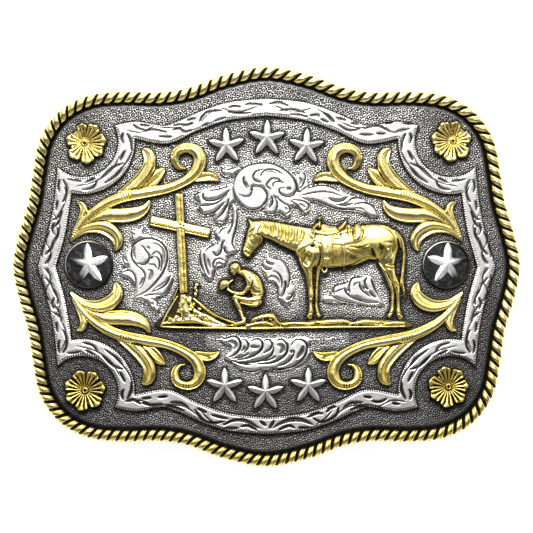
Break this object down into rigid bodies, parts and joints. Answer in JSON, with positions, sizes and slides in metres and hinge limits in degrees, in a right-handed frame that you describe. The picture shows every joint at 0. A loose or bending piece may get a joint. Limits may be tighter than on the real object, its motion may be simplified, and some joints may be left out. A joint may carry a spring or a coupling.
{
  "type": "belt buckle",
  "caption": "Wide wavy-edged belt buckle, bowed face with twisted rope edge, ribbon border, scrolls, stars and a raised horse scene; loop and hook on the back.",
  "frame": {"origin": "middle of the bounding box at the surface that the buckle lies on, face up", "axes": "+X to the right and +Y up as the face is read, +Z out of the face"},
  "size_m": [0.1, 0.0782, 0.0159],
  "materials": {
    "gold_plate": "polished gold plate with darkened recesses",
    "antique_silver": "burnished silver plate, dark in the engraved cuts",
    "oxidised_field": "oxidised, with a fine bright stipple",
    "back_metal": "plain plated metal"
  },
  "bodies": {
    "root": {"back_plate": "oxidised_field", "rope_edge": "gold_plate", "ribbon_border": "antique_silver", "flower_nw": "gold_plate", "flower_ne": "gold_plate", "flower_sw": "gold_plate", "flower_se": "gold_plate", "scroll_nw": "gold_plate", "scroll_ne": "gold_plate", "scroll_sw": "gold_plate", "scroll_se": "gold_plate", "medallion_left": "oxidised_field", "medallion_right": "oxidised_field", "medallion_star_left": "antique_silver", "medallion_star_right": "antique_silver", "star_top_left": "antique_silver", "star_top_middle": "antique_silver", "star_top_right": "antique_silver", "star_bottom_left": "antique_silver", "star_bottom_middle": "antique_silver", "star_bottom_right": "antique_silver", "leaf_top": "antique_silver", "leaf_left": "antique_silver", "leaf_centre": "antique_silver", "leaf_chest": "antique_silver", "leaf_belly": "antique_silver", "leaf_bottom": "antique_silver", "cross": "gold_plate", "ground": "gold_plate", "kneeling_figure": "gold_plate", "horse": "gold_plate", "saddle": "gold_plate", "belt_loop": "back_metal", "belt_hook": "back_metal"}
  },
  "joints": []
}
